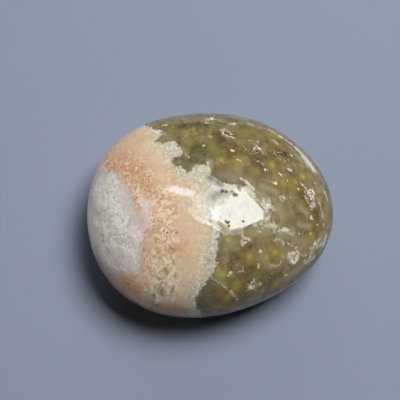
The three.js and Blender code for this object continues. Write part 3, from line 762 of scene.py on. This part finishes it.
def moved(operation, inputs):
    return add("VectorMath", inputs, "Vector", operation=operation)


in_metres = add("TexCoord", {}, "Object")
coordinates = moved("SCALE", {0: in_metres, "Scale": 1 / MM})


def spot(size, place, stretch=(1, 1, 1), vector=coordinates):
    """Where a pattern is looked up, for lumps about as large as size, in millimetres."""
    inputs = {
        "Vector": vector,
        "Location": (place, place * 0.7, place * 1.3),
        "Scale": [s / size for s in stretch],
    }
    return add("Mapping", inputs, "Vector")


def grain(size, place, detail=2.0, rough=0.6, stretch=(1, 1, 1), vector=coordinates):
    """Cloudy noise with lumps about as large as size, in millimetres, round an even middle of 0."""
    mapped = spot(size, place, stretch, vector)
    inputs = {"Vector": mapped, "Scale": 1.0, "Detail": detail, "Roughness": rough}
    return math_of("SUBTRACT", add("TexNoise", inputs, "Fac"), 0.5)


def crystals(size, place, vector=coordinates):
    """A mosaic of grains about as large as size, in millimetres, each with its own shade round 0."""
    mosaic = add("TexVoronoi", {"Vector": spot(size, place, vector=vector), "Scale": 1.0}, "Color")
    return math_of("SUBTRACT", mosaic, 0.5)


def swayed(vector, size, place, detail, amount):
    """Places that are pushed about, so that a pattern looked up there has no straight lines."""
    noise = add("TexNoise", {"Vector": spot(size, place), "Scale": 1.0, "Detail": detail}, "Color")
    return moved("ADD", {0: vector, 1: moved("SCALE", {0: noise, "Scale": amount})})


bent = swayed(coordinates, size=1.3, place=21.0, detail=3.0, amount=1.6)


def joints(size, place, width):
    """The lines between crystals about as large as size, in millimetres."""
    inputs = {"Vector": spot(size, place, vector=bent), "Scale": 1.0}
    return rise(add("TexVoronoi", inputs, "Distance", feature="DISTANCE_TO_EDGE"), width, 0.0)


broad = grain(3.4, 6.0, rough=0.5)
middling = grain(1.1, 7.0, detail=3.0)
small = grain(0.62, 9.0)
fine = grain(0.34, 8.0)
sugar = crystals(0.42, 3.0)
salt = crystals(0.27, 5.0)
facets = plus(times(crystals(2.3, 22.0, bent), 0.8), times(crystals(1.1, 23.0, bent), 0.6))

FROST_SLANT = math.radians(67)  # the needles lie this far from the stone's length
turn = {"Vector": coordinates, "Angle": FROST_SLANT}
slanted = add("VectorRotate", turn, "Vector", rotation_type="Z_AXIS")
streaks = grain(0.5, 16.0, detail=3.0, rough=0.65, stretch=(0.42, 1.0, 0.7), vector=slanted)
run = add("CombineXYZ", {"X": stored("along moss"), "Y": stored("into moss")}, "Vector")
needles = grain(0.42, 3.0, stretch=(1.0, 0.16, 1.0), vector=run)

grains = {
    "broad": broad,
    "middling": middling,
    "small": small,
    "fine": fine,
    "sugar": sugar,
    "salt": salt,
    "facets": facets,
    "streaks": streaks,
    "needles": needles,
}


def mixed(base, **amounts):
    """A value with so much of each grain stirred in."""
    return plus(base, *(times(grains[name], amount) for name, amount in amounts.items()))


def grown(name, low, high, **amounts):
    """The share that a growth covers, its edge broken up by so much of each grain."""
    return rise(mixed(stored(name), **amounts), low, high)


def tinge(under, name, strength, low, high, colour, **amounts):
    """A colour laid over another where a growth is."""
    return laid(under, grown(name, low, high, **amounts), strength, colour)


# The seams, ragged where one band grew into the next
edge = plus(
    stored("into moss"),
    times(grain(1.7, 1.0, detail=3.0), 2.4),
    times(grain(0.55, 2.0), 0.9),
    times(needles, 1.6),
)
moss_share = rise(edge, -0.2, 0.16)
quartz_edge = plus(
    stored("into quartz"),
    times(grain(1.6, 4.0, detail=3.0), 3.0),
    grain(0.5, 5.0, detail=1.0, rough=0.5),
)
quartz_share = rise(mixed(quartz_edge, sugar=0.8), -0.4, 0.4)

# Peach jasper: smooth tan in places, and grainy orange with cream crumbs in others
rusty = grown("rust", -0.9, 0.8, middling=2.2, broad=1.6)
tan = shades(
    mixed(0.5, broad=0.7, middling=0.6, sugar=0.3, fine=0.3),
    (0.1, 214, 176, 142), (0.5, 226, 194, 161), (0.9, 240, 212, 182),
)
orange = shades(
    mixed(0.5, broad=0.4, middling=0.75, small=0.45, sugar=0.5, salt=0.4),
    (0.05, 190, 134, 96), (0.35, 212, 163, 126), (0.62, 227, 186, 150), (0.92, 248, 218, 186),
)
peach = tinge(blend(rusty, tan, orange), "pale", 0.45, -0.5, 0.9, (244, 222, 194))
crumbs = rise(mixed(0.0, middling=0.8, small=0.5, sugar=0.7, salt=0.6), 0.06, 0.36)
peach = laid(peach, times(crumbs, rusty), 0.36, (246, 220, 190))
peach = tinge(
    peach, "crumbs", 0.85, -0.2, 0.7, (252, 228, 200), middling=1.4, small=1.0, sugar=1.6, salt=1.5
)

# The lace: cream curls over beige, with dark hollows
beige = shades(
    mixed(0.5, middling=0.9, sugar=0.6, salt=0.4),
    (0.1, 186, 166, 128), (0.5, 228, 208, 172), (0.9, 248, 232, 202),
)
peach = blend(times(grown("beige", -0.3, 0.7, middling=1.2), 0.85), peach, beige)
strands = most(joints(1.1, 24.0, 0.11), joints(0.6, 25.0, 0.12))
lace = rise(mixed(times(strands, 0.9), sugar=0.9, salt=0.6, middling=0.8), 0.3, 1.0)
peach = laid(peach, times(lace, grown("lace", -0.3, 0.7, middling=1.4)), 0.75, (255, 240, 214))
peach = tinge(peach, "shadowy", 0.75, -0.1, 0.9, (134, 108, 72), small=1.6, sugar=1.0, salt=0.8)
peach = tinge(
    peach, "curls", 0.8, 0.0, 0.8, (255, 240, 212), middling=1.6, small=2.4, sugar=1.4, salt=0.8
)
peach = tinge(peach, "butter", 0.6, -0.3, 0.7, (230, 203, 160), middling=0.8)
peach = tinge(peach, "salmon", 0.35, -0.3, 0.8, (238, 190, 154), middling=1.6, sugar=1.0, salt=0.8)

# Cream fringe, a felt of needles that stand on the moss's edge
cream_share = most(
    rise(mixed(edge, broad=2.0, middling=1.4), -3.2, -0.8),
    grown("cream", -0.4, 0.8, middling=1.2, broad=0.8),
)
cream = shades(
    mixed(0.5, sugar=0.6, salt=0.4, middling=0.7),
    (0.12, 204, 184, 150), (0.5, 226, 208, 178), (0.88, 244, 232, 208),
)
frost_share = most(
    rise(mixed(edge, middling=2.0, streaks=1.6), -1.9, -0.2),
    grown("frost", -0.5, 0.8, middling=1.3, streaks=1.8, broad=0.8),
)
frost = shades(
    mixed(0.5, streaks=1.2, needles=0.5, sugar=0.45, middling=0.8),
    (0.1, 164, 158, 136), (0.45, 206, 202, 181), (0.9, 244, 242, 226),
)
warm_side = blend(frost_share, blend(times(cream_share, 0.85), peach, cream), frost)

# Quartz, a felt of milky crystals with white flecks
cloudy = grown("cloud", -0.5, 0.9, middling=1.8, small=1.0)
cloud_tone = plus(0.33, times(cloudy, 0.2), times(cloudy, sugar, 0.3))
quartz = shades(
    mixed(cloud_tone, broad=0.22, middling=0.26, facets=0.3, sugar=0.28, salt=0.3),
    (0.05, 186, 181, 166), (0.3, 213, 208, 194), (0.55, 233, 227, 215), (0.9, 253, 250, 244),
)
threads = most(joints(2.3, 22.0, 0.06), joints(1.1, 23.0, 0.07), times(joints(0.6, 26.0, 0.09), 0.7))
feathers = rise(mixed(threads, sugar=0.75, salt=0.3, middling=1.1, small=0.4), 0.38, 0.95)
quartz = laid(quartz, times(feathers, rise(cloudy, -0.3, 0.8)), 0.8, (255, 253, 248))
quartz = laid(quartz, rise(mixed(small, middling=0.6, sugar=0.3), -0.12, -0.3), 0.4, (178, 176, 168))
# Painted light: near-white quartz along the left rim, for light that falls short there
quartz = tinge(quartz, "chalk and rim light", 0.7, -0.3, 0.7, (252, 243, 230), middling=1.2, facets=0.5)
# Lilac patches, and along the upper left rim a painted sheen, here in the quartz and below in the peach
quartz = tinge(quartz, "lilac and rim sheen", 0.45, -0.4, 0.7, (226, 208, 206))
quartz = tinge(quartz, "glints", 0.65, -0.2, 0.6, (255, 251, 246), middling=1.2, small=1.4, sugar=1.0)
warm_side = tinge(
    warm_side, "lilac and rim sheen", 0.75, 0.1, 0.9, (244, 230, 224), middling=2.0, small=1.2, sugar=0.8
)
warm_side = blend(quartz_share, warm_side, quartz)
on_seam = times(rise(quartz_edge, -1.6, -0.3), rise(quartz_edge, 1.4, 0.2))
warm_side = laid(warm_side, on_seam, 0.35, (220, 182, 162))

# The rim of the peach and quartz: amber stain, painted plum shade and reflection, and dark brown
rim = shades(
    mixed(0.5, middling=1.0, sugar=0.5),
    (0.1, 164, 104, 62), (0.45, 214, 152, 98), (0.8, 238, 192, 142),
)
rimmed = grown("amber rim", -0.5, 0.9, middling=1.8, small=0.8)
warm_side = blend(times(rimmed, 0.78), warm_side, rim)
# Painted shade and reflection: a plum band along the lower left rim
warm_side = tinge(
    warm_side, "plum shade and sheen", 0.75, -0.6, 0.9, (152, 102, 98), middling=1.8, broad=1.2, small=0.6
)
warm_side = tinge(
    warm_side, "umber", 0.65, -0.4, 0.9, (130, 84, 58), middling=1.8, broad=1.0, small=0.6
)

# Moss jasper: clear and smoky, packed with soft balls, and murky between them
wavering = swayed(spot(2.6, 0.0), size=2.2, place=17.0, detail=2.0, amount=0.9)
balls = node_in(
    finish,
    "ShaderNodeTexVoronoi",
    {"Vector": wavering, "Scale": 1.0, "Smoothness": 0.35},
    feature="SMOOTH_F1",
)
roundness = rise(balls.outputs["Distance"], 0.75, 0.15)
own_hue = math_of("SUBTRACT", balls.outputs["Color"], 0.5)
orbs = most(*(stored(name) for name in ("olive", "gold", "lime", "taupe", "haze and rim glow")))
grit = plus(1.0, times(rise(orbs, -0.2, 0.7), -0.65))
gritty = times(mixed(0.0, middling=0.4, small=0.28, sugar=0.22, salt=0.18), grit)
murk = grown("murk", -0.3, 0.7, middling=1.0)
ball_tone = plus(0.41, times(roundness, 0.24), times(own_hue, 0.34), gritty, times(murk, -0.16))
moss = shades(
    mixed(ball_tone, broad=0.25),
    (0.03, 76, 63, 40), (0.26, 104, 91, 60), (0.48, 129, 117, 79), (0.68, 148, 136, 97),
    (0.96, 192, 180, 144),
)
moss = laid(moss, times(rise(own_hue, 0.05, 0.3), roundness), 0.35, (152, 130, 66))
moss = laid(moss, times(rise(own_hue, -0.05, -0.3), roundness), 0.3, (128, 128, 94))
patches = mixed(broad, middling=0.5)
moss = laid(moss, rise(patches, 0.02, 0.22), 0.45, (140, 127, 102))
moss = laid(moss, rise(patches, -0.02, -0.22), 0.35, (116, 112, 66))

ORBS = [  # each soft ball's name, how strongly it shows, and the colours of its rim and middle
    ("slate", 0.8, (110, 104, 78), (121, 115, 92)),
    ("olive", 0.75, (127, 116, 60), (148, 136, 72)),
    ("taupe", 0.65, (142, 129, 102), (160, 148, 124)),
    # Haze is also painted light along the front rim, for the glow that shines through the stone there
    ("haze and rim glow", 0.75, (158, 146, 108), (176, 164, 128)),
    ("gold", 0.85, (141, 123, 58), (181, 158, 80)),
    ("lime", 0.8, (147, 138, 76), (185, 175, 98)),
    ("amber", 0.75, (150, 117, 56), (184, 136, 62)),
    ("umber", 0.65, (112, 94, 62), (116, 96, 68)),
    ("cores", 0.6, (172, 156, 92), (214, 190, 116)),
]
RAGGED_SMOKE = 2.2


def orb(under, name, strength, outer, inner, ragged=0.9):
    """Soft balls laid over a colour, each with its own rim and middle colour."""
    tint = blend(grown(name, 0.1, 1.0, middling=0.6), paint(*outer), paint(*inner))
    cover = grown(name, -0.3, 1.0, middling=ragged, small=0.3, sugar=0.2)
    return blend(times(cover, strength), under, tint)


for ball in ORBS:
    moss = orb(moss, *ball)
moss = orb(moss, "smoke", 0.9, (140, 140, 126), (120, 120, 106), RAGGED_SMOKE)
milk = shades(
    mixed(0.5, middling=0.9, sugar=0.7, salt=0.4), (0.2, 160, 154, 124), (0.8, 236, 234, 214)
)
moss = blend(times(grown("milk", -0.2, 0.9, middling=1.5, sugar=0.8), 0.85), moss, milk)
# Pale cream veins, and a painted reflection as a white streak along the upper right rim
moss = tinge(moss, "veil and rim glare", 0.85, -0.4, 0.8, (240, 240, 222), middling=1.2, small=0.7, sugar=0.5)
warm_side = orb(warm_side, "smoke", 0.9, (166, 166, 152), (132, 132, 118), RAGGED_SMOKE)
body = blend(moss_share, warm_side, moss)

# Crusts, specks, veins, and the painted shade in the vugs
crust_field = mixed(stored("crusts"), middling=1.0, small=1.5, sugar=1.3, salt=0.8)
body = laid(body, times(rise(crust_field, -1.1, 0.3), moss_share), 0.4, (178, 160, 122))
crust_share = rise(crust_field, -0.2, 0.75)
dark_crust = shades(
    mixed(plus(0.4, times(stored("crusts"), 0.3)), sugar=0.7, salt=0.6, small=0.5),
    (0.1, 146, 130, 96), (0.45, 192, 176, 142), (0.85, 234, 222, 196),
)
pale_crust = shades(
    mixed(plus(0.4, times(stored("crusts"), 0.2)), sugar=0.8, salt=0.7, small=0.6),
    (0.05, 150, 128, 104), (0.3, 222, 200, 174), (0.8, 250, 238, 216),
)
crust = blend(moss_share, pale_crust, dark_crust)
crust = tinge(crust, "sparks", 1.0, -0.3, 0.6, (255, 250, 238), sugar=1.0, small=1.0)
body = blend(times(crust_share, 0.9), body, crust)
body = laid(body, times(grown("specks", -1.3, 0.2), moss_share), 0.35, (112, 92, 56))
specks = grown("specks", 0.0, 0.7, sugar=1.2, small=1.0)
body = laid(body, times(specks, moss_share), 0.95, (244, 228, 182))
body = tinge(body, "veins", 0.8, 0.0, 0.9, (226, 214, 178), sugar=1.6, small=1.0)
# Painted shade: the hollows of the vugs are painted dark for the shadow inside them
vug_share = grown("vug", 0.3, 0.8)
vug_shade = blend(rise(small, -0.1, 0.1), paint(46, 38, 20), paint(88, 80, 46))
body = blend(times(vug_share, 0.9), body, vug_shade)

POLISHED = 0.05  # the roughness of the glassy skin, which crusts, vugs and dull places add to
BUMP_HEIGHT = 0.1  # the grains of the crusts and vugs, in millimetres
dulled = grown("dull", -0.4, 0.5, middling=1.5, small=0.7)
roughness = plus(POLISHED, times(crust_share, 0.10), times(vug_share, 0.5), times(dulled, 0.4))
bumps = plus(times(sugar, crust_share), times(fine, vug_share))
relief = add("Bump", {"Height": bumps, "Strength": 0.3, "Distance": BUMP_HEIGHT * MM}, "Normal")
surface = {"Base Color": body, "Roughness": roughness, "Normal": relief, "IOR": 1.52}
node_in(finish, "ShaderNodeOutputMaterial", {"Surface": add("BsdfPrincipled", surface, "BSDF")})

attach(palm_stone, "root")
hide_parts("stone")

# ----------------------------------------------------------
# The floor. A plain sheet of matt blue-grey card that the stone lies on, flat and without
# texture. It belongs to the studio and not to the part.
FLOOR_SIDE = 3.0  # in metres
FLOOR_CORNERS = [(-1, -1), (1, -1), (1, 1), (-1, 1)]

floor_mesh = bpy.data.meshes.new("studio_floor")
floor_mesh.from_pydata(
    [(x * FLOOR_SIDE / 2, y * FLOOR_SIDE / 2, 0) for x, y in FLOOR_CORNERS], [], [(0, 1, 2, 3)]
)
studio_floor = bpy.data.objects.new("studio_floor", floor_mesh)
bpy.context.scene.collection.objects.link(studio_floor)
sheet = bpy.data.materials.new("studio sheet")
sheet.use_nodes = True
card = sheet.node_tree.nodes["Principled BSDF"].inputs
card["Base Color"].default_value = paint(150, 159, 178)
card["Roughness"].default_value = 0.9
card["Specular IOR Level"].default_value = 0.1
floor_mesh.materials.append(sheet)

# ----------------------------------------------------------
# The light. A window high at the right and a small bluish lamp at the back are what the polish
# reflects. The brightness on the stone comes from a broad ceiling, a pale wall behind and a low
# strip at the left, and from the room itself.
def face(thing, axes, place):
    """Turns a thing so that its own x, y and z lie along the axes, and puts it in its place."""
    for column, axis in enumerate(axes):
        for line in range(3):
            thing.matrix_world[line][column] = axis[line]
    thing.location = place


def soft_light(name, centre, across, down, size, power, tint=(1.0, 1.0, 1.0), reflected=False):
    """A rectangular light that faces the stone, wide along `across` and tall along `down`. It shows
    only in the polish if it is reflected, and otherwise only in the brightness."""
    lamp = bpy.data.lights.new(name, "AREA")
    lamp.shape = "RECTANGLE"
    lamp.size, lamp.size_y = size
    lamp.energy = power
    lamp.color = tint
    light = bpy.data.objects.new(name, lamp)
    x_axis = Vector(across).normalized()
    z_axis = x_axis.cross(Vector(down)).normalized()
    if z_axis.dot(Vector(centre)) < 0:
        z_axis.negate()
    face(light, (x_axis, z_axis.cross(x_axis), z_axis), centre)
    light.visible_camera = False
    light.visible_diffuse = not reflected
    light.visible_glossy = reflected
    bpy.context.scene.collection.objects.link(light)


soft_light(
    "window",
    centre=(0.1433, 0.0261, 0.4532),
    across=(0.614, -0.655, 0.440),
    down=(0.764, 0.356, -0.538),
    size=(0.236, 0.178),
    power=2.18,
    tint=(0.97, 1.0, 0.98),
    reflected=True,
)
soft_light(
    "lamp_strip",
    centre=(-0.0249, 0.1760, 0.4323),
    across=(0.885, -0.427, 0.183),
    down=(0.163, -0.084, -0.983),
    size=(0.108, 0.074),
    power=0.231,
    tint=(0.66, 0.76, 1.0),
    reflected=True,
)
soft_light(
    "ceiling",
    centre=(0.154, 0.103, 0.571),
    across=(0.556, -0.831, 0.0),
    down=(0.790, 0.529, -0.309),
    size=(0.300, 0.300),
    power=3.25,
)
soft_light(
    "wall",
    centre=(0.0, 0.544, 0.254),
    across=(1.0, 0.0, 0.0),
    down=(0.0, 0.42, -0.90),
    size=(0.500, 0.500),
    power=0.53,
)
soft_light(
    "bounce",
    centre=(-0.49, 0.03, 0.015),
    across=(0.06, -1.0, 0.0),
    down=(0.0, 0.0, -1.0),
    size=(0.400, 0.024),
    power=0.24,
)

# The room is brightest overhead towards the back right, and dark at the front left.
ROOM_BRIGHTEST = (0.220, 0.262, 0.940)
ROOM_FALL = 4.0
ROOM_STRENGTH = 0.47
ROOM_DARKEST = 0.012
room = bpy.data.worlds.new("room")
room.use_nodes = True


def in_room(kind, inputs, output, **settings):
    """What comes out of a new node of the room."""
    return node_in(room.node_tree, "ShaderNode" + kind, inputs, **settings).outputs[output]


facing = in_room("NewGeometry", {}, "Position")
towards = in_room("VectorMath", {0: facing, 1: ROOM_BRIGHTEST}, "Value", operation="DOT_PRODUCT")
lit = in_room("Math", {0: towards, 1: 0.0}, "Value", operation="MAXIMUM")
fall = in_room("Math", {0: lit, 1: ROOM_FALL}, "Value", operation="POWER")
glow_terms = {0: fall, 1: ROOM_STRENGTH, 2: ROOM_DARKEST}
glow = in_room("Math", glow_terms, "Value", operation="MULTIPLY_ADD")
room.node_tree.links.new(glow, room.node_tree.nodes["Background"].inputs["Strength"])
bpy.context.scene.world = room
bpy.context.scene.view_settings.view_transform = "Standard"

# ----------------------------------------------------------
# The camera. It looks steeply down on the stone from the front left, about a hand's length away,
# through a long lens.
CAMERA_ELEVATION = math.radians(66.5)
CAMERA_AZIMUTH = math.radians(-34.7)
CAMERA_DISTANCE = 0.208  # in metres
AIM = Vector((-0.71, -0.11, WIDEST_LEVEL)) * MM  # the place that the camera looks at
RIGHTWARD = Vector((0.986, -0.168, 0.0))  # level, and to the camera's right
LENS = 76.5  # focal length, in millimetres
SHIFT = (-0.02225, 0.0295)  # how far the view slides across and up, as shares of its width

back = Vector((
    math.sin(CAMERA_AZIMUTH) * math.cos(CAMERA_ELEVATION),
    -math.cos(CAMERA_AZIMUTH) * math.cos(CAMERA_ELEVATION),
    math.sin(CAMERA_ELEVATION),
))
right = (RIGHTWARD - back * RIGHTWARD.dot(back)).normalized()
lens = bpy.data.cameras.new("camera")
lens.lens = LENS
lens.shift_x, lens.shift_y = SHIFT
camera = bpy.data.objects.new("camera", lens)
bpy.context.scene.collection.objects.link(camera)
face(camera, (right, back.cross(right), back), AIM + back * CAMERA_DISTANCE)
bpy.context.scene.camera = camera
